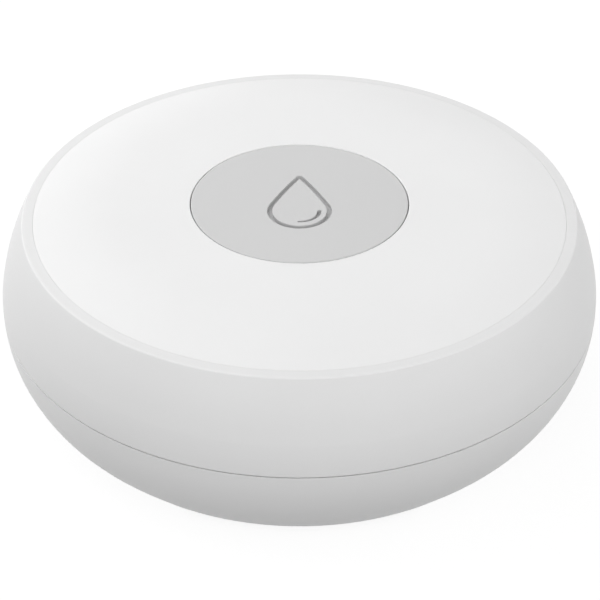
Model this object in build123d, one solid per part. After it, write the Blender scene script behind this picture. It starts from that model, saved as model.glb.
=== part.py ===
from build123d import *
import math
import os

# A round water leak sensor, lying on its feet. Millimetres and degrees.
# The origin is on the floor under the middle, +Z is up, and the front, with the
# bottom of the water drop on the button, faces -Y.
# Sizes are worked out from the battery cells outward and from the floor upward.

overrun = 1.0
flat_fit = 0.05

# Battery cells, lying along X beside each other
cell_diameter = 10.5
cell_length = 44.5
cell_nub_diameter = 3.8
cell_nub_height = 0.9
cell_edge_radius = 0.5
cell_gap = 1.0
cell_fit = 0.15

# Contacts at the ends of the cells
contact_thickness = 0.3
contact_width = 7.0
contact_height = 6.6
contact_corner = 1.2
dimple_radius = 1.6
dimple_height = 0.5
tail_width = 2.0
tail_above_board = 0.7
spring_room = 2.35
spring_wire = 0.4
spring_base_radius = 3.0
spring_tip_radius = 1.3
spring_turns = 3
arcs_per_turn = 4
gap_points_per_turn = 24

# Battery tray
tray_side_wall = 1.25
tray_end_wall = 1.3
tray_corner_trim = 0.35
tray_plate_thickness = 1.0
tray_rim_gap = 0.9
tray_wrap = 1.85
tray_end_drop = 4.0
grip_window_length = 9.0
grip_window_height = 4.0
grip_window_place = 10.0
tray_opening_length = 9.0
tray_opening_width = 6.0
tray_opening_corner = 1.5
tray_opening_place = 20.2
tray_pad_radius = 3.2
slot_clearance = 0.15

# Circuit board and what stands on it
board_thickness = 1.2
board_margin = 1.3
board_gap = 0.2
component_room = 4.5
switch_size = 6.0
switch_height = 3.5
switch_corner = 0.4
switch_cover_thickness = 0.2
switch_leg_width = 0.7
switch_leg_reach = 1.1
switch_leg_thickness = 0.2
switch_leg_place = 2.25
plunger_radius = 1.75
plunger_rise = 0.85
plunger_depth = 1.0
plunger_fit = 0.05
plunger_edge = 0.15
lamp_length = 1.6
lamp_width = 1.2
lamp_height = 0.5
lamp_dome = 0.35
lamp_place = 4.6
radio_length = 14.0
radio_width = 9.5
radio_board_thickness = 0.8
radio_clearance = 0.43
can_length = 9.0
can_width = 7.6
can_height = 1.8
can_wall = 0.2
can_corner = 0.6
can_shift = 1.9
capacitor_radius = 2.4
capacitor_height = 3.6
capacitor_base = 5.2
capacitor_base_height = 0.6
capacitor_waist = 0.25
capacitor_clearance = 1.98
chip_size = 4.0
chip_height = 0.9
chip_place = 20.0
chip_leg_width = 0.3
chip_leg_pitch = 0.65
chip_leg_reach = 0.5
chip_legs = 5
small_part_length = 1.6
small_part_width = 0.8
small_part_height = 0.6
small_part_ring = 11.5
small_part_count = 12
small_part_start = 15.0

# Screws that hold the tray and the board
screw_angle = 56.3
screw_edge = 1.8
screw_radius = 1.0
screw_length = 6.5
screw_fit = 0.1
screw_head_radius = 1.9
screw_head_height = 1.2
screw_head_edge = 0.4
screw_recess = 0.7
screw_recess_width = 0.5
screw_recess_length = 2.2
boss_wall = 1.5

# Base shell
floor_recess = 1.5
floor_thickness = 1.5
cell_to_floor = 0.4
collar_clearance = 1.1
collar_wall = 2.0
collar_top_gap = 1.3
collar_edge = 0.35
collar_root_radius = 1.0
base_wall = 1.8
pocket_depth = 6.5
pocket_rib_count = 24
pocket_rib_thickness = 1.0
pocket_rib_drop = 1.6
foot_width = 2.0
foot_slope_width = 0.5
foot_count = 3
water_gap_angle = 58.0
water_gap_height = 0.5
water_gap_ramp = 2.1

# Outside outline
parting_height = 12.36
parting_gap = 0.12
parting_edge = 0.04
parting_wall = 3.18
lower_bulge_radius = 14.9
lower_slope = 42.5
upper_bulge_radius = 17.0
upper_bulge_angle = 13.0
upper_slope = 28.0
rim_fall = 0.03
rim_edge_radius = 0.2

# Screw closure between the collar and the upper shell
thread_lead = 12.0
thread_depth = 0.78
thread_clearance = 0.12
thread_count = 3
ridge_angle = 82.0
ridge_steps = 11
ridge_thickness = 1.0
lug_angle = 20.0
lug_steps = 4
lug_height = 1.05
lug_above_parting = 3.39
stop_angle = 3.0
stop_gap_angle = 0.5
thread_embed = 0.35

# Sealing ring in its groove
groove_depth = 0.9
groove_above_parting = 0.79
groove_side_gap = 0.1
ring_fit = 0.05

# Upper shell and top plate
deck_thickness = 1.4
well_depth = 2.3
well_floor = 1.2
well_wall = 1.2
well_gap = 0.7
well_hole_radius = 6.2
deck_rib_thickness = 1.0
deck_rib_depth = 1.5
bore_lead = 0.5
bore_above_collar = 0.3
plate_thickness = 1.8
plate_fit = 0.02
plate_crown_width = 8.5
plate_crown_drop = 0.92
plate_edge_radius = 0.1
rim_width = 1.25
peg_count = 6
peg_radius = 1.2
peg_fit = 0.08
peg_length = 1.1
peg_place = 22.5
peg_start = 0.0

# Button
button_radius = 12.55
button_gap = 0.1
button_edge_radius = 0.12
button_top_thickness = 1.5
button_skirt = 1.2
button_flange = 1.3
button_flange_thickness = 0.85
button_flange_gap = 0.1
button_post_radius = 1.6
button_rib_thickness = 0.9
button_rib_depth = 0.8
button_rib_count = 6
button_press = 0.4
gasket_lip = 0.45

# Water drop engraved in the button
drop_radius = 3.72
drop_tip_radius = 0.5
drop_length = 11.26
drop_middle_front = 0.15
drop_side_bulge = 0.1
drop_groove_width = 0.6
drop_groove_depth = 0.5
gleam_radius = 2.28
gleam_start_width = 0.34
gleam_end_width = 0.52
gleam_start = -92.0
gleam_end = -2.0

# Probe pins
probe_offset = 7.6
pin_tip_height = 0.3
pin_head_radius = 2.7
pin_head_height = 0.8
pin_head_dome = 0.35
pin_radius = 1.3
pin_fit = 0.05
pin_above_floor = 1.6
washer_width = 1.0
nut_width = 4.6
nut_height = 1.2
nut_edge = 0.3
strip_width = 3.0
strip_thickness = 0.3
strip_gap = 0.08
strip_slope = 1.0
strip_toe = 2.2
strip_toe_rise = 0.8
strip_bend_radius = 1.0
strip_above_board = 0.6

# Places along X and Y, from the cells outward
cell_radius = cell_diameter / 2
cell_place = (cell_diameter + cell_gap) / 2
contact_span = cell_length + dimple_height + spring_room + flat_fit
tray_half_length = contact_span / 2 + contact_thickness
cradle_radius = cell_radius + cell_fit
tray_half_width = cell_place + cradle_radius + tray_side_wall
tray_end = tray_half_length + tray_end_wall
swing_radius = math.hypot(tray_end, tray_half_width) - tray_corner_trim
collar_inner = swing_radius + collar_clearance
collar_outer = collar_inner + collar_wall
ridge_radius = collar_outer + thread_depth
bore_radius = ridge_radius + thread_clearance
lug_tip_radius = bore_radius - thread_depth
equator_radius = bore_radius + parting_wall
tray_radius = collar_inner - tray_rim_gap
board_radius = tray_radius - board_margin
screw_ring = board_radius - screw_edge
screw_angles = [screw_angle, 180 - screw_angle, 180 + screw_angle, 360 - screw_angle]
boss_radius = screw_radius + boss_wall
probe_place = tray_half_width + probe_offset
strip_place = tray_half_width + strip_thickness / 2 + flat_fit

# Heights, from the floor upward
floor_underside = floor_recess
floor_top = floor_underside + floor_thickness
cell_axis_height = floor_top + cell_to_floor + cell_radius
tray_plate_low = cell_axis_height + cell_radius + flat_fit * 2
tray_plate_top = tray_plate_low + tray_plate_thickness
board_low = tray_plate_top + board_gap
board_top = board_low + board_thickness
deck_low = board_top + component_room
deck_top = deck_low + deck_thickness
plate_top = deck_top + plate_thickness
rim_inner_height = plate_top - plate_crown_drop
rim_height = rim_inner_height - rim_fall
well_top = deck_top - well_depth
well_low = well_top - well_floor
collar_top = deck_low - collar_top_gap
base_top = parting_height - parting_gap / 2
shell_low = parting_height + parting_gap / 2
upper_arc_rise = upper_bulge_radius * math.sin(math.radians(upper_bulge_angle))
slope_turn = math.sin(math.radians(upper_slope)) - math.sin(math.radians(upper_bulge_angle))
upper_crown_radius = (rim_height - parting_height - upper_arc_rise) / slope_turn
switch_top = board_top + switch_height
plunger_top = switch_top + plunger_rise
pin_top = floor_top + pin_above_floor
strip_foot_height = pin_top + strip_gap + strip_thickness / 2

# Places round the button
hole_radius = button_radius + button_gap
flange_radius = button_radius + button_flange
well_radius = flange_radius + well_gap
well_outer = well_radius + well_wall
flange_top = deck_top - button_flange_gap
flange_low = flange_top - button_flange_thickness
button_under = plate_top - button_top_thickness
post_low = plunger_top + flat_fit
radio_place = well_outer + radio_clearance + radio_width / 2
capacitor_place = well_outer + capacitor_clearance + capacitor_base / 2

# Seal and thread places
groove_radius = collar_outer - groove_depth
ring_section = (bore_radius - groove_radius) / 2 - ring_fit
ring_radius = (bore_radius + groove_radius) / 2
groove_low = parting_height + groove_above_parting
groove_top = groove_low + (ring_section + groove_side_gap) * 2
ring_height = (groove_low + groove_top) / 2
lug_middle = parting_height + lug_above_parting + lug_height / 2


def at(radius, height):
    """A point of a turned outline: distance from the axis, and height."""
    return (radius, 0, height)


def line(*points):
    """Straight edges through points of a turned outline."""
    return Polyline(*[at(*p) for p in points])


def bow(centre, radius, start, end):
    """A round edge about a centre, from one angle to another."""
    angles = [math.radians(a) for a in (start, (start + end) / 2, end)]
    spots = [(centre[0] + radius * math.cos(a), centre[1] + radius * math.sin(a)) for a in angles]
    return ThreePointArc(*[at(*p) for p in spots])


def turned(*edges):
    """The solid that a closed outline makes when it is turned about Z."""
    return revolve(make_face(list(edges)), Axis.Z)


def closed(*points):
    """A face of a turned outline with straight edges only."""
    return make_face(line(*points, points[0]))


def block(size_x, size_y, low, top, x=0, y=0):
    """An upright box between two heights, centred on a place."""
    return Pos(x, y, (low + top) / 2) * Box(size_x, size_y, top - low)


def rod(radius, low, top, x=0, y=0):
    """An upright round bar between two heights."""
    return Pos(x, y, (low + top) / 2) * Cylinder(radius, top - low)


def polar(radius, angle):
    """X and Y of a place at a distance and an angle from the middle."""
    return (radius * math.cos(math.radians(angle)), radius * math.sin(math.radians(angle)))


def equal_angles(count, start=0):
    """Evenly spaced angles round a full turn."""
    return [start + 360 * i / count for i in range(count)]


def lower_arc_end():
    """Where the base's bulge becomes its straight slope."""
    turn = math.radians(lower_slope)
    middle = equator_radius - lower_bulge_radius
    return (
        middle + lower_bulge_radius * math.cos(turn),
        parting_height - lower_bulge_radius * math.sin(turn),
    )


def upper_crown_middle():
    """Centre of the flatter arc that runs from the upper shell's bulge up to its rim."""
    turn = math.radians(upper_bulge_angle)
    further = upper_crown_radius - upper_bulge_radius
    return (
        equator_radius - upper_bulge_radius - further * math.cos(turn),
        parting_height - further * math.sin(turn),
    )


def slope_radius(height):
    """Radius of the base's straight slope at a height."""
    radius, start = lower_arc_end()
    return radius - (start - height) * math.tan(math.radians(lower_slope))


def rim_radius():
    """Outer radius of the rim, where the upper shell's flatter arc ends."""
    return upper_crown_middle()[0] + upper_crown_radius * math.cos(math.radians(upper_slope))


# Thread


def thread_rise(angle):
    """How far the thread climbs over an angle."""
    return thread_lead * angle / 360


def helical_bar(inner, outer, low, height, start, sweep, steps):
    """A bar with a rectangular section that climbs round the axis with the thread."""
    sections = []
    for i in range(steps + 1):
        angle = start + sweep * i / steps
        foot = low + thread_rise(angle)
        top = foot + height
        sections.append(Rot(0, 0, angle) * closed((inner, foot), (outer, foot), (outer, top), (inner, top)))
    return loft(sections, ruled=True)


def collar_ridge():
    """One thread ridge outside the collar, with the stop at its low end."""
    low = lug_middle + lug_height / 2 + thread_clearance
    start = -lug_angle / 2 - stop_gap_angle
    inner = collar_outer - thread_embed
    ridge = helical_bar(inner, ridge_radius, low, ridge_thickness, start, ridge_angle, ridge_steps)
    stop_low = lug_middle - lug_height / 2
    stop_height = low - stop_low + ridge_thickness
    stop = helical_bar(inner, ridge_radius, stop_low, stop_height, start - stop_angle, stop_angle, 1)
    return (ridge + stop) & rod(ridge_radius + overrun, stop_low - thread_lead, collar_top)


def shell_lug():
    """One lug inside the upper shell, which hangs below a ridge and follows it."""
    low = lug_middle - lug_height / 2
    start = -lug_angle / 2
    outer = bore_radius + thread_embed
    return helical_bar(lug_tip_radius, outer, low, lug_height, start, lug_angle, lug_steps)


# Base shell and its seal


def pocket_rib(angle):
    """A wall across the pocket between the collar and the outer wall."""
    length = equator_radius - collar_inner
    middle = (equator_radius + collar_inner) / 2
    top = parting_height - pocket_rib_drop
    return Rot(0, 0, angle) * block(length, pocket_rib_thickness, floor_underside, top, x=middle)


def base_pocket():
    """The hollow between the collar and the outer wall, less the ribs that stand in it."""
    reach = lower_bulge_radius - base_wall
    middle = (equator_radius - lower_bulge_radius, parting_height)
    depth_angle = -math.degrees(math.asin(pocket_depth / reach))
    low = parting_height - pocket_depth
    low_radius = middle[0] + reach * math.cos(math.radians(depth_angle))
    top = parting_height + overrun
    top_radius = equator_radius - base_wall
    pocket = turned(
        line((collar_outer, low), (low_radius, low)),
        bow(middle, reach, depth_angle, 0),
        line((top_radius, parting_height), (top_radius, top), (collar_outer, top), (collar_outer, low)),
    )
    for angle in equal_angles(pocket_rib_count, 360 / pocket_rib_count / 2):
        pocket -= pocket_rib(angle)
    return pocket


def base_body():
    """The turned body of the base: floor, foot ring, bulged wall, collar and groove."""
    foot_outer = slope_radius(0)
    foot_inner = foot_outer - foot_width
    middle = (equator_radius - lower_bulge_radius, parting_height)
    top_angle = -math.degrees(math.asin((parting_gap / 2 + parting_edge) / lower_bulge_radius))
    edge_radius = middle[0] + lower_bulge_radius * math.cos(math.radians(top_angle))
    root_middle = collar_inner - collar_root_radius
    return turned(
        line((foot_outer, 0), lower_arc_end()),
        bow(middle, lower_bulge_radius, -lower_slope, top_angle),
        line(
            (edge_radius, base_top - parting_edge),
            (edge_radius - parting_edge, base_top),
            (collar_outer, base_top),
            (collar_outer, groove_low),
            (groove_radius, groove_low),
            (groove_radius, groove_top),
            (collar_outer, groove_top),
            (collar_outer, collar_top - collar_edge),
            (collar_outer - collar_edge, collar_top),
            (collar_inner, collar_top),
            (collar_inner, floor_top + collar_root_radius),
        ),
        bow((root_middle, floor_top + collar_root_radius), collar_root_radius, 0, -90),
        line(
            (root_middle, floor_top),
            (0, floor_top),
            (0, floor_underside),
            (foot_inner - foot_slope_width, floor_underside),
            (foot_inner, 0),
            (foot_outer, 0),
        ),
    )


def water_gap():
    """A shallow gap in the foot ring, with sloping ends, that lets water run in under the floor."""
    outer = slope_radius(water_gap_height) + overrun
    inner = slope_radius(0) - foot_width - foot_slope_width - overrun
    top = water_gap_height
    section = closed((inner, -overrun), (outer, -overrun), (outer, top), (inner, top))
    sweep_angle = water_gap_angle - 2 * math.degrees(water_gap_ramp / slope_radius(0))
    gap = Rot(0, 0, -sweep_angle / 2) * revolve(section, Axis.Z, revolution_arc=sweep_angle)
    run = water_gap_ramp * (1 + overrun / top)
    for side in (-1, 1):
        slope = make_face(Polyline((0, 0, top), (0, side * run, -overrun), (0, 0, -overrun), (0, 0, top)))
        ramp = Pos(inner, 0, 0) * extrude(slope, outer - inner, dir=(1, 0, 0))
        gap += Rot(0, 0, side * sweep_angle / 2) * ramp
    return gap


def make_base_shell():
    shell = base_body() - base_pocket()
    for angle in equal_angles(foot_count, -90):
        shell -= Rot(0, 0, angle) * water_gap()
    for angle in equal_angles(thread_count):
        shell += Rot(0, 0, angle) * collar_ridge()
    hole = rod(pin_radius + pin_fit, floor_underside - overrun, floor_top + overrun)
    for side in (-1, 1):
        shell -= Pos(0, side * probe_place, 0) * hole
    return shell


def make_base_o_ring():
    return Pos(0, 0, ring_height) * Torus(ring_radius, ring_section)


# Probe pins, their washers, nuts and contact strips


def make_probe_pins():
    head_top = pin_tip_height + pin_head_height
    dome_edge = pin_tip_height + pin_head_dome
    dome_reach = (pin_head_radius**2 + pin_head_dome**2) / (2 * pin_head_dome)
    dome_turn = math.degrees(math.asin(pin_head_radius / dome_reach))
    tip_round = pin_radius
    pin = turned(
        bow((0, pin_tip_height + dome_reach), dome_reach, -90, dome_turn - 90),
        line(
            (pin_head_radius, dome_edge),
            (pin_head_radius, head_top),
            (pin_radius, head_top),
            (pin_radius, pin_top - tip_round),
        ),
        bow((0, pin_top - tip_round), tip_round, 0, 90),
        line((0, pin_top), (0, pin_tip_height)),
    )
    return [Pos(0, side * probe_place, 0) * pin for side in (-1, 1)]


def make_probe_washers():
    low = pin_tip_height + pin_head_height
    washer = rod(pin_radius + washer_width, low, floor_underside)
    washer -= rod(pin_radius + pin_fit, low - overrun, floor_underside + overrun)
    return [Pos(0, side * probe_place, 0) * washer for side in (-1, 1)]


def make_probe_nuts():
    flat = nut_width / 2
    prism = extrude(RegularPolygon(flat, 6, major_radius=False), nut_height)
    corner = flat / math.cos(math.radians(30))
    shoulder = nut_height - nut_edge
    cone = revolve(closed((0, 0), (corner, 0), (corner, shoulder), (flat, nut_height), (0, nut_height)))
    nut = (prism & cone) - rod(pin_radius + pin_fit, -overrun, nut_height + overrun)
    return [Pos(0, side * probe_place, floor_top) * nut for side in (-1, 1)]


def make_probe_contacts():
    """Bent strips that stand in the board and reach out to the tops of the pins."""
    knee = strip_foot_height + strip_slope
    path = FilletPolyline(
        (0, strip_place, board_top + strip_above_board),
        (0, strip_place, knee),
        (0, probe_place, strip_foot_height),
        (0, probe_place + strip_toe, strip_foot_height + strip_toe_rise),
        radius=strip_bend_radius,
    )
    start = Plane(path @ 0, x_dir=(1, 0, 0), z_dir=(0, 0, -1))
    strip = sweep(start * Rectangle(strip_width, strip_thickness), path=path)
    return [strip, Rot(0, 0, 180) * strip]


# Battery cells and their contacts


def make_cell(direction):
    """A cell along X, with its nub towards +X when direction is 1, and towards -X when it is -1."""
    nub_tip = contact_span / 2 - dimple_height - flat_fit
    can_end = nub_tip - cell_nub_height
    foot = nub_tip - cell_length
    nub_radius = cell_nub_diameter / 2
    edge = cell_edge_radius
    outline = turned(
        line((0, foot), (cell_radius - edge, foot)),
        bow((cell_radius - edge, foot + edge), edge, -90, 0),
        line((cell_radius, foot + edge), (cell_radius, can_end - edge)),
        bow((cell_radius - edge, can_end - edge), edge, 0, 90),
        line(
            (cell_radius - edge, can_end),
            (nub_radius, can_end),
            (nub_radius, nub_tip),
            (0, nub_tip),
            (0, foot),
        ),
    )
    return Pos(0, -direction * cell_place, cell_axis_height) * Rot(0, 90 * direction, 0) * outline


def contact_plate(width, face, y, tail_place):
    """A stamped plate against an end wall of the tray, with a tail up through the board."""
    sign = math.copysign(1, face)
    middle = face + sign * contact_thickness / 2
    sheet = RectangleRounded(width, contact_height, contact_corner)
    plane = Plane(origin=(middle, y, cell_axis_height), x_dir=(0, 1, 0), z_dir=(1, 0, 0))
    plate = extrude(plane * sheet, contact_thickness / 2, both=True)
    top = board_top + tail_above_board
    return plate + block(contact_thickness, tail_width, cell_axis_height, top, x=middle, y=tail_place)


def dimple(face, y):
    """A pressed dome that touches the nub of a cell."""
    sign = math.copysign(1, face)
    reach = (dimple_radius**2 + dimple_height**2) / (2 * dimple_height)
    turn = math.degrees(math.asin(dimple_radius / reach))
    cap = turned(
        line((0, -contact_thickness / 2), (dimple_radius, -contact_thickness / 2), (dimple_radius, 0)),
        bow((0, dimple_height - reach), reach, 90 - turn, 90),
        line((0, dimple_height), (0, -contact_thickness / 2)),
    )
    return Pos(face, y, cell_axis_height) * Rot(0, -90 * sign, 0) * cap


def make_positive_terminal():
    face = contact_span / 2
    return contact_plate(contact_width, face, -cell_place, -cell_place) + dimple(face, -cell_place)


def make_negative_terminal():
    return contact_plate(contact_width, contact_span / 2, cell_place, cell_place)


def make_bridge_plate():
    face = -contact_span / 2
    plate = contact_plate(contact_width + cell_place * 2, face, 0, 0)
    return plate + dimple(face, cell_place)


def coil_point(turn):
    """A point of the conical spring and its direction, after a number of turns, along +Z."""
    spread = (spring_tip_radius - spring_base_radius) / spring_turns
    climb = (spring_room - flat_fit * 2 - spring_wire) / spring_turns
    radius = spring_base_radius + spread * turn
    angle = 2 * math.pi * turn
    place = Vector(radius * math.cos(angle), radius * math.sin(angle), climb * turn)
    along = Vector(
        spread * math.cos(angle) - 2 * math.pi * radius * math.sin(angle),
        spread * math.sin(angle) + 2 * math.pi * radius * math.cos(angle),
        climb,
    )
    return place, along.normalized()


def paired_arcs(start, start_way, end, end_way):
    """Two arcs that leave one point in a direction and reach another in a direction."""
    chord = end - start
    ways = start_way + end_way
    spread = 2 * (1 - start_way.dot(end_way))
    across = chord.dot(ways)
    reach = (math.sqrt(across**2 + spread * chord.dot(chord)) - across) / spread
    joint = (start + end + (start_way - end_way) * reach) / 2
    first = TangentArc(start, joint, tangent=start_way)
    return [first, TangentArc(joint, end, tangent=first % 1)]


def wound_spring():
    """The conical contact spring as one unbroken wire along +Z."""
    count = spring_turns * arcs_per_turn
    edges = []
    for i in range(count):
        edges += paired_arcs(*coil_point(i / arcs_per_turn), *coil_point((i + 1) / arcs_per_turn))
    place, way = coil_point(0)
    section = Plane(origin=place, z_dir=way) * Circle(spring_wire / 2)
    return sweep(section, path=Wire([e.edge() for e in edges]))


def spring_least_gap():
    """Least gap between the turns of the spring, measured on points at least half a turn apart."""
    count = spring_turns * gap_points_per_turn
    points = [coil_point(i / gap_points_per_turn)[0] for i in range(count + 1)]
    apart = gap_points_per_turn // 2
    reaches = [(points[i] - points[j]).length for i in range(count + 1) for j in range(i + apart, count + 1)]
    return min(reaches) - spring_wire


def spring_at(side, y):
    """A contact spring on the plate at one end of the tray, with its tip against a cell."""
    stand = contact_span / 2 - spring_wire / 2 - flat_fit
    return Pos(side * stand, y, cell_axis_height) * Rot(0, -90 * side, 0) * wound_spring()


# Battery tray, board and components


def board_hole_cuts(low, top):
    """Upright cuts for the contact tails and the probe strips."""
    width = contact_thickness + slot_clearance * 2
    tail = tail_width + slot_clearance * 2
    middle = contact_span / 2 + contact_thickness / 2
    cuts = [block(width, tail, low, top, x=middle, y=side * cell_place) for side in (-1, 1)]
    cuts.append(block(width, tail, low, top, x=-middle))
    strip_cut = strip_thickness + slot_clearance * 2
    for side in (-1, 1):
        cuts.append(block(strip_width + slot_clearance * 2, strip_cut, low, top, y=side * strip_place))
    return cuts


def tray_openings():
    """Openings in the tray's plate that save material, in line with the probes."""
    sheet = RectangleRounded(tray_opening_length, tray_opening_width, tray_opening_corner)
    opening = Pos(0, 0, tray_plate_low - overrun) * extrude(sheet, tray_plate_thickness + overrun * 2)
    return [Pos(0, side * tray_opening_place, 0) * opening for side in (-1, 1)]


def make_battery_tray():
    plate = rod(tray_radius, tray_plate_low, tray_plate_top)
    cradle_low = cell_axis_height - tray_wrap
    cradle = block(tray_half_length * 2, tray_half_width * 2, cradle_low, tray_plate_top)
    end_low = cell_axis_height - tray_end_drop
    for side in (-1, 1):
        middle = side * (tray_half_length + tray_end_wall / 2)
        cradle += block(tray_end_wall, tray_half_width * 2, end_low, tray_plate_top, x=middle)
    tray = plate + (cradle & rod(swing_radius, end_low, tray_plate_top))
    window_top = cell_axis_height + grip_window_height
    window = block(grip_window_length, cell_radius * 2, cell_axis_height, window_top, y=tray_half_width)
    for side in (-1, 1):
        hollow = Pos(0, side * cell_place, cell_axis_height) * Rot(0, 90, 0)
        tray -= hollow * Cylinder(cradle_radius, tray_half_length * 2)
        for end in (-1, 1):
            tray -= Pos(end * grip_window_place, 0, 0) * Rot(0, 0, 90 - side * 90) * window
    end_slot = contact_thickness + slot_clearance
    slot_width = contact_width + cell_place * 2 + slot_clearance * 2
    slot_top = cell_axis_height + contact_height / 2 + slot_clearance
    for side in (-1, 1):
        middle = side * (tray_half_length - end_slot / 2)
        tray -= block(end_slot, slot_width, end_low - overrun, slot_top, x=middle)
    for cut in board_hole_cuts(cell_axis_height, tray_plate_top + overrun) + tray_openings():
        tray -= cut
    for angle in screw_angles:
        pad = rod(tray_pad_radius, tray_plate_low, board_low, *polar(screw_ring, angle))
        tray += pad & rod(tray_radius, tray_plate_low, board_low)
    for hole in screw_holes(end_low, board_top):
        tray -= hole
    return tray


def screw_holes(low, top):
    """Holes that the tray screws pass through."""
    return [rod(screw_radius + screw_fit, low, top, *polar(screw_ring, angle)) for angle in screw_angles]


def make_main_board():
    board = rod(board_radius, board_low, board_top)
    low = board_low - overrun
    top = board_top + overrun
    for cut in board_hole_cuts(low, top) + screw_holes(low, top):
        board -= cut
    return board


def make_tray_screws():
    """Pan-head screws that go up through the tray and the board into the bosses."""
    head_low = tray_plate_low - screw_head_height
    shank_top = tray_plate_low + screw_length
    edge = screw_head_edge
    screw = turned(
        line((0, head_low), (screw_head_radius - edge, head_low)),
        bow((screw_head_radius - edge, head_low + edge), edge, -90, 0),
        line(
            (screw_head_radius, head_low + edge),
            (screw_head_radius, tray_plate_low),
            (screw_radius, tray_plate_low),
            (screw_radius, shank_top - screw_radius),
            (0, shank_top),
            (0, head_low),
        ),
    )
    for turn in (0, 90):
        slot = block(screw_recess_length, screw_recess_width, head_low - overrun, head_low + screw_recess)
        screw -= Rot(0, 0, turn) * slot
    return [Pos(*polar(screw_ring, angle), 0) * screw for angle in screw_angles]


def make_switch_body():
    body = block(switch_size, switch_size, board_top, switch_top - switch_cover_thickness)
    body = chamfer(body.edges().filter_by(Axis.Z), switch_corner)
    hole_low = switch_top - plunger_depth - button_press - flat_fit
    return body - rod(plunger_radius + plunger_fit, hole_low, switch_top + overrun)


def make_switch_frame():
    """The steel cover over the switch, with its four solder legs."""
    low = switch_top - switch_cover_thickness
    cover = block(switch_size, switch_size, low, switch_top)
    cover = chamfer(cover.edges().filter_by(Axis.Z), switch_corner)
    side = switch_size / 2 + switch_leg_thickness / 2
    foot = side + switch_leg_reach / 2
    foot_top = board_top + switch_leg_thickness
    for x in (-1, 1):
        for y in (-switch_leg_place, switch_leg_place):
            cover += block(switch_leg_thickness, switch_leg_width, board_top, switch_top, x=x * side, y=y)
            cover += block(switch_leg_reach, switch_leg_width, board_top, foot_top, x=x * foot, y=y)
    return cover - rod(plunger_radius + plunger_fit, low - overrun, switch_top + overrun)


def make_switch_plunger():
    plunger = rod(plunger_radius, switch_top - plunger_depth, plunger_top)
    return chamfer(plunger.edges().group_by(Axis.Z)[-1], plunger_edge)


def make_status_lamp():
    base = block(lamp_length, lamp_width, board_top, board_top + lamp_height, x=lamp_place)
    dome = Pos(lamp_place, 0, board_top + lamp_height) * Sphere(lamp_dome)
    return base + dome


def make_radio_board():
    top = board_top + radio_board_thickness
    board = block(radio_length, radio_width, board_top, top, y=radio_place)
    return chamfer(board.edges().filter_by(Axis.Z), can_wall)


def make_shield_can():
    """A drawn metal can, open below, over one side of the radio board."""
    low = board_top + radio_board_thickness
    top = low + can_height
    outside = block(can_length, can_width, low, top)
    outside = fillet(outside.edges().filter_by(Axis.Z), can_corner)
    outside = fillet(outside.edges().group_by(Axis.Z)[-1], can_wall)
    inside = block(can_length - can_wall * 2, can_width - can_wall * 2, low - overrun, top - can_wall)
    middle = radio_place - (radio_width - can_width) / 2 + can_wall
    return Pos(-can_shift, middle, 0) * (outside - inside)


def make_storage_capacitor():
    """A round aluminium capacitor with a crimped waist on its square foot."""
    low = board_top + capacitor_base_height
    top = board_top + capacitor_height
    waist = low + capacitor_waist * 2
    can = turned(
        line((0, low), (capacitor_radius, low), (capacitor_radius, waist)),
        bow((capacitor_radius, waist + capacitor_waist), capacitor_waist, 270, 90),
        line(
            (capacitor_radius, waist + capacitor_waist * 2),
            (capacitor_radius, top - capacitor_waist),
            (capacitor_radius - capacitor_waist, top),
            (0, top),
            (0, low),
        ),
    )
    foot = block(capacitor_base, capacitor_base, board_top, low)
    marked_corners = foot.edges().filter_by(Axis.Z).group_by(Axis.X)[-1]
    foot = chamfer(marked_corners, capacitor_base_height)
    return Pos(capacitor_place, 0, 0) * (foot + can)


def make_board_parts():
    """A control chip with its legs, and small parts in a ring round the switch."""
    chip = block(chip_size, chip_size, board_top + flat_fit, board_top + chip_height, x=-chip_place)
    chip = chamfer(chip.edges().group_by(Axis.Z)[-1], chip_leg_width / 2)
    first = -chip_leg_pitch * (chip_legs - 1) / 2
    leg = block(chip_leg_width, chip_size + chip_leg_reach * 2, board_top, board_top + chip_leg_width)
    for i in range(chip_legs):
        chip += Pos(first + chip_leg_pitch * i - chip_place, 0, 0) * leg
    parts = [chip]
    top = board_top + small_part_height
    part = block(small_part_length, small_part_width, board_top, top, x=small_part_ring)
    for angle in equal_angles(small_part_count, small_part_start):
        parts.append(Rot(0, 0, angle) * part)
    return parts


# Upper shell, top plate and button


def shell_body():
    """The turned body of the upper shell: bulged wall, rim, deck and button well."""
    middle = (equator_radius - upper_bulge_radius, parting_height)
    low_angle = math.degrees(math.asin((parting_gap / 2 + parting_edge) / upper_bulge_radius))
    edge_radius = middle[0] + upper_bulge_radius * math.cos(math.radians(low_angle))
    rim_outer = rim_radius()
    rim_inner = rim_outer - rim_width
    bore_top = collar_top + bore_above_collar
    neck = bore_radius - (deck_low - bore_top)
    edges = [
        line((edge_radius - parting_edge, shell_low), (edge_radius, shell_low + parting_edge)),
        bow(middle, upper_bulge_radius, low_angle, upper_bulge_angle),
        bow(upper_crown_middle(), upper_crown_radius, upper_bulge_angle, upper_slope),
        line(
            (rim_outer, rim_height),
            (rim_inner, rim_inner_height),
            (rim_inner, deck_top),
            (well_radius, deck_top),
            (well_radius, well_top),
            (well_hole_radius, well_top),
            (well_hole_radius, well_low),
            (well_outer, well_low),
            (well_outer, deck_low),
            (neck, deck_low),
            (bore_radius, bore_top),
            (bore_radius, shell_low + bore_lead),
            (bore_radius + bore_lead, shell_low),
            (edge_radius - parting_edge, shell_low),
        ),
    ]
    outline = make_face(edges)
    corner = outline.vertices().sort_by(lambda v: abs(v.X - rim_outer) + abs(v.Z - rim_height))[0]
    return revolve(fillet(corner, rim_edge_radius), Axis.Z)


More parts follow.
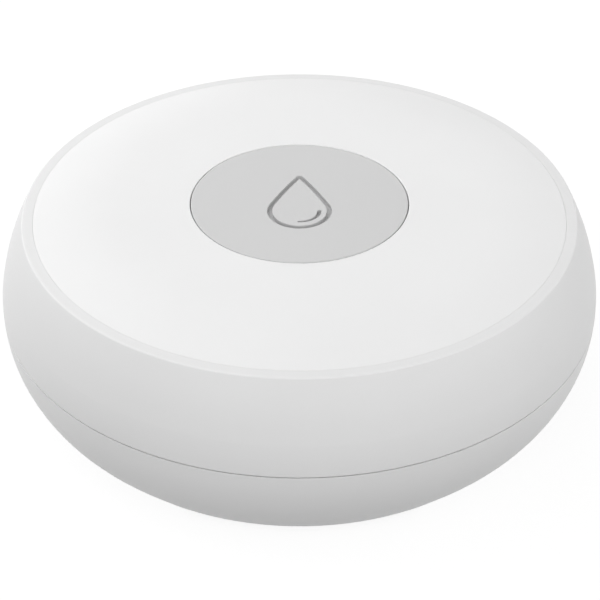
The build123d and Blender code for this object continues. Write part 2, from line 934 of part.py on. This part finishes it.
def boss_and_rib(angle):
    """A screw boss under the deck, with the rib that ties it to the button well."""
    root = deck_low + deck_thickness / 2
    boss = rod(boss_radius, board_top, root, x=screw_ring)
    length = screw_ring - well_outer + well_wall
    rib = block(length, deck_rib_thickness, deck_low - deck_rib_depth, root, x=screw_ring - length / 2)
    return Rot(0, 0, angle) * (boss + rib)


def make_upper_shell():
    shell = shell_body()
    for angle in screw_angles:
        shell += boss_and_rib(angle)
    hole_top = tray_plate_low + screw_length + flat_fit
    for angle in screw_angles:
        shell -= rod(screw_radius + flat_fit, board_top - overrun, hole_top, *polar(screw_ring, angle))
    for angle in equal_angles(peg_count, peg_start):
        shell -= rod(peg_radius + peg_fit, deck_low - overrun, deck_top + overrun, *polar(peg_place, angle))
    for angle in equal_angles(thread_count):
        shell += Rot(0, 0, angle) * shell_lug()
    return shell


def make_top_plate():
    """The disc in the rim: flat, rolled down at its edge, on pegs."""
    outer = rim_radius() - rim_width - plate_fit
    crown_start = outer - plate_crown_width
    reach = (plate_crown_width**2 + plate_crown_drop**2) / (2 * plate_crown_drop)
    turn = math.degrees(math.asin(plate_crown_width / reach))
    plate = turned(
        line((hole_radius, plate_top), (hole_radius, deck_top), (outer, deck_top), (outer, rim_inner_height)),
        bow((crown_start, plate_top - reach), reach, 90 - turn, 90),
        line((crown_start, plate_top), (hole_radius, plate_top)),
    )
    corners = plate.edges().filter_by(GeomType.CIRCLE)
    hole_edge = corners.filter_by(lambda e: e.radius < hole_radius + plate_fit and e.arc_center.Z > deck_top)
    plate = fillet(hole_edge, plate_edge_radius)
    for angle in equal_angles(peg_count, peg_start):
        plate += rod(peg_radius, deck_top - peg_length, deck_top + overrun / 2, *polar(peg_place, angle))
    return plate


def drop_outline():
    """The water drop seen from above: a round belly that runs up to a rounded tip."""
    length = drop_length - drop_radius - drop_tip_radius
    lean = math.asin((drop_radius - drop_tip_radius) / length)
    belly = Vector(math.cos(lean), math.sin(lean)) * drop_radius
    tip = Vector(math.cos(lean), math.sin(lean)) * drop_tip_radius + Vector(0, length)
    side = (belly + tip) / 2 + Vector(math.cos(lean), math.sin(lean)) * drop_side_bulge
    mirror = [Vector(-p.X, p.Y) for p in (belly, side, tip)]
    edges = [
        ThreePointArc(mirror[0], Vector(0, -drop_radius), belly),
        ThreePointArc(belly, side, tip),
        ThreePointArc(tip, Vector(0, length + drop_tip_radius), mirror[2]),
        ThreePointArc(mirror[2], mirror[1], mirror[0]),
    ]
    return make_face(edges)


def gleam_outline():
    """The curved stroke inside the drop, which grows wider towards its upper end."""
    middle_angle = (gleam_start + gleam_end) / 2
    start_reach = gleam_start_width / 2
    end_reach = gleam_end_width / 2
    middle_reach = (start_reach + end_reach) / 2
    outer = [(start_reach, gleam_start), (middle_reach, middle_angle), (end_reach, gleam_end)]
    inner = [(-end_reach, gleam_end), (-middle_reach, middle_angle), (-start_reach, gleam_start)]
    outer_spots = [Vector(*polar(gleam_radius + reach, angle)) for reach, angle in outer]
    inner_spots = [Vector(*polar(gleam_radius + reach, angle)) for reach, angle in inner]
    start_tip = Vector(*polar(gleam_radius, gleam_start)) + Vector(*polar(start_reach, gleam_start - 90))
    end_tip = Vector(*polar(gleam_radius, gleam_end)) + Vector(*polar(end_reach, gleam_end + 90))
    edges = [
        ThreePointArc(*outer_spots),
        ThreePointArc(outer_spots[2], end_tip, inner_spots[0]),
        ThreePointArc(*inner_spots),
        ThreePointArc(inner_spots[2], start_tip, outer_spots[0]),
    ]
    return make_face(edges)


def drop_engraving():
    """The grooves of the drop and of the gleam inside it, as solids to cut away."""
    outer = drop_outline()
    groove = outer - offset(outer, -drop_groove_width)
    shift = drop_radius - drop_middle_front - drop_length / 2
    height = plate_top - drop_groove_depth
    cuts = [extrude(shape, drop_groove_depth + overrun) for shape in (groove, gleam_outline())]
    return [Pos(0, shift, height) * cut for cut in cuts]


def make_button_cap():
    """The button: a disc on a flanged skirt, with a post over the switch and ribs inside."""
    edge = button_edge_radius
    inner = button_radius - button_skirt
    cap = turned(
        line((0, plate_top), (button_radius - edge, plate_top)),
        bow((button_radius - edge, plate_top - edge), edge, 90, 0),
        line(
            (button_radius, plate_top - edge),
            (button_radius, flange_top),
            (flange_radius, flange_top),
            (flange_radius, flange_low),
            (inner, flange_low),
            (inner, button_under),
            (button_post_radius, button_under),
            (button_post_radius, post_low),
            (0, post_low),
            (0, plate_top),
        ),
    )
    length = inner - button_post_radius + button_skirt
    middle = (inner + button_post_radius) / 2
    rib_low = button_under - button_rib_depth
    rib = block(length, button_rib_thickness, rib_low, button_under + edge, x=middle)
    for angle in equal_angles(button_rib_count, 360 / button_rib_count / 2):
        cap += Rot(0, 0, angle) * rib
    for cut in drop_engraving():
        cap -= cut
    return cap


def make_button_gasket():
    """A soft ring between the button's flange and the well, waisted so that it gives."""
    low = well_top + flat_fit
    top = flange_low - flat_fit
    outer = flange_radius - flat_fit
    inner = button_radius - button_skirt
    middle = (low + top) / 2
    waist = (top - low) / 2 - gasket_lip / 2
    return turned(
        line((inner, low), (outer, low), (outer, middle - waist)),
        bow((outer, middle), waist, 270, 90),
        line((outer, middle + waist), (outer, top), (inner, top), (inner, middle + waist)),
        bow((inner, middle), waist, 90, -90),
        line((inner, middle - waist), (inner, low)),
    )


def nodes():
    """Every piece of the object by name."""
    return {
        "base_shell": make_base_shell(),
        "base_o_ring": make_base_o_ring(),
        "probe_pins": make_probe_pins(),
        "probe_washers": make_probe_washers(),
        "probe_nuts": make_probe_nuts(),
        "probe_contacts": make_probe_contacts(),
        "battery_front": make_cell(1),
        "battery_back": make_cell(-1),
        "positive_terminal": make_positive_terminal(),
        "negative_terminal": make_negative_terminal(),
        "bridge_plate": make_bridge_plate(),
        "negative_spring": spring_at(1, cell_place),
        "bridge_spring": spring_at(-1, -cell_place),
        "battery_tray": make_battery_tray(),
        "main_board": make_main_board(),
        "tray_screws": make_tray_screws(),
        "switch_body": make_switch_body(),
        "switch_frame": make_switch_frame(),
        "switch_plunger": make_switch_plunger(),
        "status_lamp": make_status_lamp(),
        "radio_board": make_radio_board(),
        "shield_can": make_shield_can(),
        "storage_capacitor": make_storage_capacitor(),
        "board_parts": make_board_parts(),
        "upper_shell": make_upper_shell(),
        "top_plate": make_top_plate(),
        "button_cap": make_button_cap(),
        "button_gasket": make_button_gasket(),
    }


def write_parts():
    os.makedirs("parts", exist_ok=True)
    for name, shape in nodes().items():
        whole = Compound(children=shape) if isinstance(shape, list) else shape
        export_step(whole, f"parts/{name}.step")
    print(f"least gap between the turns of the contact springs: {spring_least_gap():.3f} mm")


write_parts()
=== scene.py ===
import math

import bmesh
import bpy
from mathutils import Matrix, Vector


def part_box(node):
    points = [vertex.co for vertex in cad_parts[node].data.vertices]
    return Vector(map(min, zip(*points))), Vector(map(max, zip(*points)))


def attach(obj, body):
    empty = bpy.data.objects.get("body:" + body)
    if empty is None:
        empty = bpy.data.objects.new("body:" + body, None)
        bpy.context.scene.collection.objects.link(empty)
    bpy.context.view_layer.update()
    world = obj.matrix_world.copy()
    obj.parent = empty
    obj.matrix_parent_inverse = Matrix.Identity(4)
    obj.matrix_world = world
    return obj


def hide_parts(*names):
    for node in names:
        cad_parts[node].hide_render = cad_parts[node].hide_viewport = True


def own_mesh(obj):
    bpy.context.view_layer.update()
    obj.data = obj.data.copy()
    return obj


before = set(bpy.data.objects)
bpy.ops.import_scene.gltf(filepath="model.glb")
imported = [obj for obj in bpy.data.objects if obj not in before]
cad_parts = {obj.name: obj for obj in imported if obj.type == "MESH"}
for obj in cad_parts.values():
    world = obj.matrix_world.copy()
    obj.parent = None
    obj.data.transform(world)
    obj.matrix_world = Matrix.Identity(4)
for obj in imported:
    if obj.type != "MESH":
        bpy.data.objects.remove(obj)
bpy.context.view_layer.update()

# Looks of a water leak sensor around its CAD frame. Metres, linear colours.
# The front, with the bottom of the water drop, faces -Y.

# Camera, at the photograph's viewing angle
camera_place = (0.0, -0.1803, 0.1397)
camera_target = (0.0, 0.0, 0.01011)
camera_lens = 111.1
camera_sensor = 36.0
camera_shift = 0.0009
camera_lift = -0.0013
camera_near = 0.01
camera_far = 20.0

# Light and stage
# Each lamp: azimuth and elevation in degrees, and strength. Azimuth 0 is the front, 90 the right.
lamps = {
    "left_lamp": (-90, 16, 0.34),
    "left_front_lamp": (-45, 17, 0.66),
    "left_back_low_lamp": (-135, 18, 1.66),
    "left_back_high_lamp": (-135, 45, 0.47),
    "front_lamp": (0, 22, 1.06),
    "right_front_lamp": (45, 8, 0.67),
    "right_lamp": (90, 12, 1.20),
}
lamp_spread = 80.0
sky_strength = 0.245
backdrop_strength = 1.0
floor_size = 6.0
floor_bounce = 0.2
floor_fill = 0.86

# Colours
shell_colour = (0.80, 0.80, 0.80)
plate_colour = (0.867, 0.867, 0.867)
button_colour = (0.632, 0.632, 0.632)
seal_colour = (0.018, 0.018, 0.02)
silicone_colour = (0.72, 0.73, 0.72)
gold = (0.94, 0.70, 0.36)
brass = (0.76, 0.57, 0.28)
contact_colour = (0.68, 0.66, 0.62)
spring_colour = (0.58, 0.57, 0.55)
steel = (0.60, 0.60, 0.59)
can_colour = (0.74, 0.73, 0.70)
capacitor_colour = (0.80, 0.80, 0.80)
tray_colour = (0.60, 0.61, 0.60)
board_colour = (0.018, 0.13, 0.055)
radio_board_colour = (0.012, 0.045, 0.11)
switch_colour = (0.02, 0.02, 0.021)
plunger_colour = (0.35, 0.03, 0.02)
lamp_colour = (0.80, 0.82, 0.78)
component_colour = (0.025, 0.025, 0.027)

# Bands of painted light: middle height, half height, and how much darker they are; a negative
# share paints a lighter band
# Painted shade: a darker band on the shell along the gap where its halves part
parting_painted_shade = (0.01236, 0.00012, 0.15)
# Painted highlight: a lighter band along the rim's rounded outer edge
rim_painted_highlight = (0.02309, 0.00007, -0.045)
# Painted shade: a darker band on the button's edge in the gap round it
groove_painted_shade = (0.02380, 0.00024, 0.16)
band_core = 0.6

# Surface grain. A scale is a number of grains per metre, and a depth is in metres.
noise_range = (0.3, 0.7)
noise_detail = 3.0
cloud_scale = 55.0
plastic_vary = 0.02
plastic_grain = 5200.0
plastic_detail = 2.0
plastic_depth = 0.000006
plastic_gloss = 0.05
stain_scale = 180.0
stain_detail = 4.0
metal_vary = 0.12
metal_grain = 2600.0
metal_depth = 0.000004
metal_gloss = 0.08
drawn_stretch = 0.1
rubber_dust_scale = 900.0
rubber_dust_detail = 5.0
rubber_dust = 0.02
rubber_skin_scale = 4200.0
rubber_skin_depth = 0.00001
rubber_gloss = 0.08

# Circuit boards. A track's edge is a share of the tracks' pitch.
board_blocks = (260.0, 0.00045)
radio_blocks = (600.0, 0.00025)
mask_specular = 0.5
block_randomness = 0.8
track_edge = (0.28, 0.36)
turned_share = 0.5
filled_share = 0.7
share_edge = 0.01
weave_scale = 3000.0
weave_stretch = (1, 0.2, 1)
weave_shade = 0.25
track_gain = 1.7
track_lift = 0.01
mask_gloss = (0.28, 0.4)
track_depth = 0.00004

# Battery cells. Places along a cell are shares of its length, from its flat end.
cell_half = 0.025
cell_band = 0.72
film_start = 0.085
film_end = 0.932
film_colour = (0.10, 0.20, 0.30)
film_shade = (0.09, 0.18, 0.27)
cell_band_colour = (0.62, 0.64, 0.66)
cell_steel = (0.66, 0.65, 0.63)
film_metal = 0.1
ink_scale = 700.0
wrinkle_scale = 1500.0
wrinkle_stretch = (0.15, 1, 1)
wrinkle_depth = 0.00001
film_gloss = (0.24, 0.36)

# Raised marks. Lengths from the CAD frame are read from it.
mark_depth = 0.0004
mark_root = 0.00005
mark_edge = 0.00006
mark_edge_steps = 2
sign_size = 0.0040
sign_stroke = 0.0011
sign_place = (0.0185, 0.0172)
arrow_radius = 0.0130
arrow_stroke = 0.0009
arrow_head = 0.0030
arrow_span = 56.0
arrow_points = 24


def new_material(name, **constants):
    """A material whose shader has these constant values."""
    material = bpy.data.materials.new(name)
    material.use_nodes = True
    shader = material.node_tree.nodes["Principled BSDF"]
    for socket, value in constants.items():
        shader.inputs[socket.replace("_", " ")].default_value = value
    return material


def add_node(material, kind, values=None, **settings):
    """A shader node with some input values and settings."""
    made = material.node_tree.nodes.new(kind)
    for name, value in settings.items():
        setattr(made, name, value)
    for name, value in (values or {}).items():
        made.inputs[name].default_value = value
    return made


def join(material, source, target):
    """Links an output socket to an input socket."""
    material.node_tree.links.new(source, target)


def feed(material, name, source):
    """Links an output socket to an input of the material's main shader."""
    join(material, source, material.node_tree.nodes["Principled BSDF"].inputs[name])


def coordinates(material, stretch=(1, 1, 1)):
    """The piece's own coordinates in metres, stretched along each axis."""
    place = add_node(material, "ShaderNodeTexCoord")
    mapping = add_node(material, "ShaderNodeMapping", {"Scale": stretch})
    join(material, place.outputs["Object"], mapping.inputs["Vector"])
    return mapping.outputs["Vector"]


def axis_value(material, axis):
    """The piece's own coordinate along an axis."""
    split = add_node(material, "ShaderNodeSeparateXYZ")
    join(material, coordinates(material), split.inputs["Vector"])
    return split.outputs[axis]


def noise(material, scale, detail=noise_detail, stretch=(1, 1, 1)):
    """A noise value over the piece, with a number of grains per metre."""
    made = add_node(material, "ShaderNodeTexNoise", {"Scale": scale, "Detail": detail})
    join(material, coordinates(material, stretch), made.inputs["Vector"])
    return made.outputs["Fac"]


def calculated(material, operation, first, second=0.0):
    """A value calculated from a socket and a number or another socket."""
    made = add_node(material, "ShaderNodeMath", operation=operation)
    join(material, first, made.inputs[0])
    if isinstance(second, float):
        made.inputs[1].default_value = second
    else:
        join(material, second, made.inputs[1])
    return made.outputs["Value"]


def spread(material, value, low, high, source=noise_range):
    """A value brought from one range to another."""
    limits = {"From Min": source[0], "From Max": source[1], "To Min": low, "To Max": high}
    made = add_node(material, "ShaderNodeMapRange", limits)
    join(material, value, made.inputs["Value"])
    return made.outputs["Result"]


def blended(material, factor, first, second):
    """A colour between two others, each a colour or a socket."""
    made = add_node(material, "ShaderNodeMix", data_type="RGBA")
    join(material, factor, made.inputs["Factor"])
    for name, colour in (("A", first), ("B", second)):
        socket = next(s for s in made.inputs if s.name == name and s.type == "RGBA")
        if isinstance(colour, tuple):
            socket.default_value = (*colour, 1)
        else:
            join(material, colour, socket)
    return next(s for s in made.outputs if s.type == "RGBA")


def bump(material, height, depth):
    """Relief from a height value, with a depth in metres."""
    made = add_node(material, "ShaderNodeBump", {"Distance": depth})
    join(material, height, made.inputs["Height"])
    feed(material, "Normal", made.outputs["Normal"])


def gloss(material, value, middle, vary):
    """Uneven roughness about a middle, from a noise value."""
    feed(material, "Roughness", spread(material, value, middle - vary, middle + vary))


def darker(colour, share):
    """A colour made darker by a share."""
    return tuple(c * (1 - share) for c in colour)


def painted_light_band(material, tone, colour, height, half_band, share):
    """Painted light: a tone that is darker by a share, or lighter for a negative share, where the
    surface lies within a thin band of heights.
    """
    off = calculated(material, "SUBTRACT", axis_value(material, "Z"), height)
    far = calculated(material, "ABSOLUTE", off)
    within = spread(material, far, 1.0, 0.0, source=(half_band * band_core, half_band))
    return blended(material, within, tone, darker(colour, share))


def plastic(
    name, colour, roughness, vary=plastic_vary, grain=plastic_grain, bands=(), **constants
):
    """Moulded plastic: faint clouds of tone, a fine eroded grain, uneven gloss, and bands of
    painted shade and painted highlight.
    """
    material = new_material(name, **constants)
    clouds = spread(material, noise(material, cloud_scale), 0.0, 1.0)
    tone = blended(material, clouds, colour, darker(colour, vary))
    for band in bands:
        tone = painted_light_band(material, tone, colour, *band)
    feed(material, "Base Color", tone)
    fine = noise(material, grain, detail=plastic_detail)
    gloss(material, fine, roughness, plastic_gloss)
    bump(material, fine, plastic_depth)
    return material


def metal(name, colour, roughness, stretch=(1, 1, 1)):
    """Plated or bright metal with fine drawn lines and faint stains."""
    material = new_material(name, Metallic=1.0)
    stains = spread(material, noise(material, stain_scale, detail=stain_detail), 0.0, 1.0)
    feed(material, "Base Color", blended(material, stains, colour, darker(colour, metal_vary)))
    lines = noise(material, metal_grain, stretch=stretch)
    gloss(material, lines, roughness, metal_gloss)
    bump(material, lines, metal_depth)
    return material


def rubber(name, colour, roughness, **constants):
    """Soft moulded rubber with a dull, slightly dusty skin."""
    material = new_material(name, **constants)
    specks = noise(material, rubber_dust_scale, detail=rubber_dust_detail)
    dusty = tuple(c + rubber_dust for c in colour)
    tone = blended(material, spread(material, specks, 0.0, 1.0), colour, dusty)
    feed(material, "Base Color", tone)
    skin = noise(material, rubber_skin_scale)
    gloss(material, skin, roughness, rubber_gloss)
    bump(material, skin, rubber_skin_depth)
    return material


def lines_along(material, axis, pitch):
    """1 on thin straight lines across an axis, with a pitch in metres."""
    steps = calculated(material, "PINGPONG", axis_value(material, axis), pitch)
    return spread(material, steps, 1.0, 0.0, source=tuple(pitch * e for e in track_edge))


def circuit_board(name, colour, block_scale, pitch):
    """Solder mask over bundles of copper tracks, which stand a little higher and look lighter."""
    material = new_material(name, Specular_IOR_Level=mask_specular)
    grid = {"Scale": block_scale, "Randomness": block_randomness}
    blocks = add_node(material, "ShaderNodeTexVoronoi", grid, distance="CHEBYCHEV")
    join(material, coordinates(material, (1, 1, 0)), blocks.inputs["Vector"])
    chance = add_node(material, "ShaderNodeSeparateColor")
    join(material, blocks.outputs["Color"], chance.inputs["Color"])

    def chosen(channel, share, low, high):
        """One of two values for each block, with a share of blocks below the change."""
        edge = (share - share_edge, share + share_edge)
        return spread(material, chance.outputs[channel], low, high, source=edge)

    ways = add_node(material, "ShaderNodeMix")
    join(material, chosen("Red", turned_share, 0.0, 1.0), ways.inputs["Factor"])
    join(material, lines_along(material, "X", pitch), ways.inputs["A"])
    join(material, lines_along(material, "Y", pitch), ways.inputs["B"])
    filled = chosen("Green", filled_share, 1.0, 0.0)
    tracks = calculated(material, "MULTIPLY", ways.outputs["Result"], filled)
    weave = noise(material, weave_scale, stretch=weave_stretch)
    shade = darker(colour, weave_shade)
    mask = blended(material, spread(material, weave, 0.0, 1.0), colour, shade)
    lighter = tuple(min(1.0, c * track_gain + track_lift) for c in colour)
    feed(material, "Base Color", blended(material, tracks, mask, lighter))
    feed(material, "Roughness", spread(material, weave, *mask_gloss))
    bump(material, tracks, track_depth)
    return material


def cell_jacket(name, direction):
    """A battery cell: steel ends, a printed film round the can, and a band at the nub's end."""
    material = new_material(name)
    whole = (-cell_half * direction, cell_half * direction)
    along = spread(material, axis_value(material, "X"), 0.0, 1.0, source=whole)

    def beyond(edge):
        return calculated(material, "GREATER_THAN", along, edge)

    ink = spread(material, noise(material, ink_scale), 0.0, 1.0)
    film = blended(material, ink, film_colour, film_shade)
    printed = blended(material, beyond(cell_band), film, cell_band_colour)
    before_end = spread(material, beyond(film_end), 1.0, 0.0, source=(0, 1))
    covered = calculated(material, "MULTIPLY", beyond(film_start), before_end)
    feed(material, "Base Color", blended(material, covered, cell_steel, printed))
    feed(material, "Metallic", spread(material, covered, 1.0, film_metal, source=(0, 1)))
    wrinkles = noise(material, wrinkle_scale, stretch=wrinkle_stretch)
    feed(material, "Roughness", spread(material, wrinkles, *film_gloss))
    bump(material, wrinkles, wrinkle_depth)
    return material


def make_materials():
    """Every finish of the record, by its slot's name."""
    lines_up, lines_across = (1, 1, drawn_stretch), (drawn_stretch, 1, 1)
    plastics = {
        # The shell's bands paint shade into the parting gap and a highlight on the rim's edge;
        # the button's band paints shade in its gap
        "shell_white": (shell_colour, 0.42, {"bands": (parting_painted_shade, rim_painted_highlight)}),
        "plate_white": (plate_colour, 0.46, {}),
        "button_grey": (
            button_colour, 0.52, {"vary": 0.015, "grain": 6500.0, "bands": (groove_painted_shade,)}
        ),
        "tray_plastic": (tray_colour, 0.48, {"vary": 0.04}),
        "switch_black": (switch_colour, 0.42, {"vary": 0.2}),
        "plunger_plastic": (plunger_colour, 0.36, {"vary": 0.08}),
        "lamp_resin": (lamp_colour, 0.16, {"Subsurface_Weight": 0.3}),
        "component_black": (component_colour, 0.5, {"vary": 0.3}),
    }
    metals = {
        "pin_gold": (gold, 0.24, {}),
        "nut_brass": (brass, 0.34, {}),
        "contact_metal": (contact_colour, 0.3, {"stretch": lines_up}),
        "spring_steel": (spring_colour, 0.28, {}),
        "screw_steel": (steel, 0.32, {}),
        "can_metal": (can_colour, 0.3, {"stretch": lines_across}),
        "capacitor_metal": (capacitor_colour, 0.26, {"stretch": lines_up}),
    }
    rubbers = {
        "seal_black": (seal_colour, 0.55, {}),
        "silicone_clear": (silicone_colour, 0.4, {"Subsurface_Weight": 0.4}),
    }
    made = {}
    for make, rows in ((plastic, plastics), (metal, metals), (rubber, rubbers)):
        for name, (colour, roughness, other) in rows.items():
            made[name] = make(name, colour, roughness, **other)
    made["board_green"] = circuit_board("board_green", board_colour, *board_blocks)
    made["radio_board"] = circuit_board("radio_board", radio_board_colour, *radio_blocks)
    return made


def dress_nodes(materials):
    """Gives every CAD node the finish that its slot has."""
    cells = {"battery_front": 1, "battery_back": -1}
    for name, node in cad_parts.items():
        if name in cells:
            finish = cell_jacket("cell_jacket." + name, cells[name])
        else:
            finish = materials[node.material_slots[0].material.name.split(".")[0]]
        for slot in node.material_slots:
            slot.material = finish


def add_object(name, data):
    """An object of the scene with this data."""
    made = bpy.data.objects.new(name, data)
    bpy.context.scene.collection.objects.link(made)
    return made


def raised_mark(name, outlines, underside, body, material):
    """Flat signs moulded on a surface that faces down, with softened edges."""
    mesh = bpy.data.meshes.new(name)
    work = bmesh.new()
    for outline in outlines:
        face = work.faces.new([work.verts.new((x, y, underside + mark_root)) for x, y in outline])
        raised = bmesh.ops.extrude_face_region(work, geom=[face])["geom"]
        moved = [item for item in raised if isinstance(item, bmesh.types.BMVert)]
        bmesh.ops.translate(work, vec=(0, 0, -mark_root - mark_depth), verts=moved)
    bmesh.ops.recalc_face_normals(work, faces=work.faces)
    work.to_mesh(mesh)
    work.free()
    mesh.materials.append(material)
    piece = add_object(name, mesh)
    soft = piece.modifiers.new("soft_edges", "BEVEL")
    soft.width = mark_edge
    soft.segments = mark_edge_steps
    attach(piece, body)


def sign_outline(x, y, plus):
    """A plus or minus sign about a place."""
    long, thin = sign_size / 2, sign_stroke / 2
    if plus:
        corner = [(long, thin), (thin, thin), (thin, long)]
        quarters = ((1, 0), (0, 1), (-1, 0), (0, -1))
        turned = [(a * u - b * v, a * v + b * u) for u, v in quarters for a, b in corner]
    else:
        turned = [(-long, -thin), (long, -thin), (long, thin), (-long, thin)]
    return [(x + a, y + b) for a, b in turned]


def arrow_outline(middle):
    """An arrow bent round the axis, about an angle, that points clockwise seen from above."""
    start, end = math.radians(middle + arrow_span / 2), math.radians(middle - arrow_span / 2)
    turns = [start + (end - start) * i / arrow_points for i in range(arrow_points + 1)]
    tip = end - arrow_head / arrow_radius

    def along(radius, angles):
        return [(radius * math.cos(a), radius * math.sin(a)) for a in angles]

    half = arrow_stroke / 2
    wide = arrow_head / 2
    head = [(arrow_radius + wide, end), (arrow_radius, tip), (arrow_radius - wide, end)]
    outline = along(arrow_radius + half, turns)
    for radius, angle in head:
        outline += along(radius, [angle])
    return outline + along(arrow_radius - half, turns[::-1])


def make_marks(materials):
    """The signs that show which way round the cells go, and which way the base turns off."""
    x, y = sign_place
    signs = [sign_outline(a * x, b * y, a * b < 0) for a in (-1, 1) for b in (-1, 1)]
    tray_points = [v.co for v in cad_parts["battery_tray"].data.vertices]
    tray_low = min(point.z for point in tray_points if abs(point.y) > y)
    tray_finish, shell_finish = materials["tray_plastic"], materials["shell_white"]
    raised_mark("polarity_signs", signs, tray_low, "housing", tray_finish)
    arrows = [arrow_outline(middle) for middle in (0, 180)]
    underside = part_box("probe_washers")[1].z
    raised_mark("turn_arrows", arrows, underside, "base", shell_finish)


def make_press_gasket():
    """The soft ring under the button, a copy of its solid's shape, carried by the housing."""
    ring = add_object("press_gasket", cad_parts["button_gasket"].data.copy())
    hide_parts("button_gasket")
    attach(ring, "housing")
    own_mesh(ring)


def make_camera():
    """The camera at the photograph's place, lens and framing."""
    data = bpy.data.cameras.new("camera")
    data.lens = camera_lens
    data.sensor_width = camera_sensor
    data.shift_x = camera_shift
    data.shift_y = camera_lift
    data.clip_start = camera_near
    data.clip_end = camera_far
    camera = add_object("camera", data)
    camera.location = camera_place
    towards = Vector(camera_target) - Vector(camera_place)
    camera.rotation_euler = towards.to_track_quat("-Z", "Y").to_euler()
    bpy.context.scene.camera = camera


def make_lamps():
    """Wide, soft lamps, each a sun with a large disc."""
    for name, (azimuth, elevation, strength) in lamps.items():
        turn, rise = math.radians(azimuth), math.radians(elevation)
        level = math.cos(rise)
        source = Vector((math.sin(turn) * level, -math.cos(turn) * level, math.sin(rise)))
        data = bpy.data.lights.new(name, "SUN")
        data.energy = strength
        data.angle = math.radians(lamp_spread)
        add_object(name, data).rotation_euler = source.to_track_quat("Z", "Y").to_euler()


def backdrop_ray(tree):
    """1 for rays that see the backdrop itself: from the camera, a gloss or clear plastic."""
    path = tree.nodes.new("ShaderNodeLightPath")
    value = path.outputs["Is Camera Ray"]
    for name in ("Is Glossy Ray", "Is Transmission Ray"):
        larger = tree.nodes.new("ShaderNodeMath")
        larger.operation = "MAXIMUM"
        tree.links.new(value, larger.inputs[0])
        tree.links.new(path.outputs[name], larger.inputs[1])
        value = larger.outputs["Value"]
    return value


def make_world():
    """A white backdrop that gives the object a dimmer, even light."""
    world = bpy.data.worlds.new("studio")
    bpy.context.scene.world = world
    world.use_nodes = True
    tree = world.node_tree
    strength = tree.nodes.new("ShaderNodeMapRange")
    strength.inputs["To Min"].default_value = sky_strength
    strength.inputs["To Max"].default_value = backdrop_strength
    tree.links.new(backdrop_ray(tree), strength.inputs["Value"])
    background = tree.nodes["Background"]
    background.inputs["Color"].default_value = (1, 1, 1, 1)
    tree.links.new(strength.outputs["Result"], background.inputs["Strength"])


def make_floor():
    """A plain pale floor that looks white and keeps the object's soft shadow."""
    mesh = bpy.data.meshes.new("floor")
    half = floor_size / 2
    corners = [(-half, -half, 0), (half, -half, 0), (half, half, 0), (-half, half, 0)]
    mesh.from_pydata(corners, [], [(0, 1, 2, 3)])
    floor = add_object("floor", mesh)
    material = bpy.data.materials.new("floor_white")
    material.use_nodes = True
    tree = material.node_tree
    tree.nodes.clear()
    matt = tree.nodes.new("ShaderNodeBsdfDiffuse")
    matt.inputs["Color"].default_value = (floor_bounce, floor_bounce, floor_bounce, 1)
    glow = tree.nodes.new("ShaderNodeEmission")
    strength = tree.nodes.new("ShaderNodeMath")
    strength.operation = "MULTIPLY"
    strength.inputs[1].default_value = floor_fill
    tree.links.new(backdrop_ray(tree), strength.inputs[0])
    tree.links.new(strength.outputs["Value"], glow.inputs["Strength"])
    both = tree.nodes.new("ShaderNodeAddShader")
    tree.links.new(matt.outputs["BSDF"], both.inputs[0])
    tree.links.new(glow.outputs["Emission"], both.inputs[1])
    output = tree.nodes.new("ShaderNodeOutputMaterial")
    tree.links.new(both.outputs["Shader"], output.inputs["Surface"])
    mesh.materials.append(material)


make_camera()
make_lamps()
make_world()
make_floor()
finishes = make_materials()
dress_nodes(finishes)
make_marks(finishes)
make_press_gasket()
bpy.context.scene.view_settings.view_transform = "Standard"
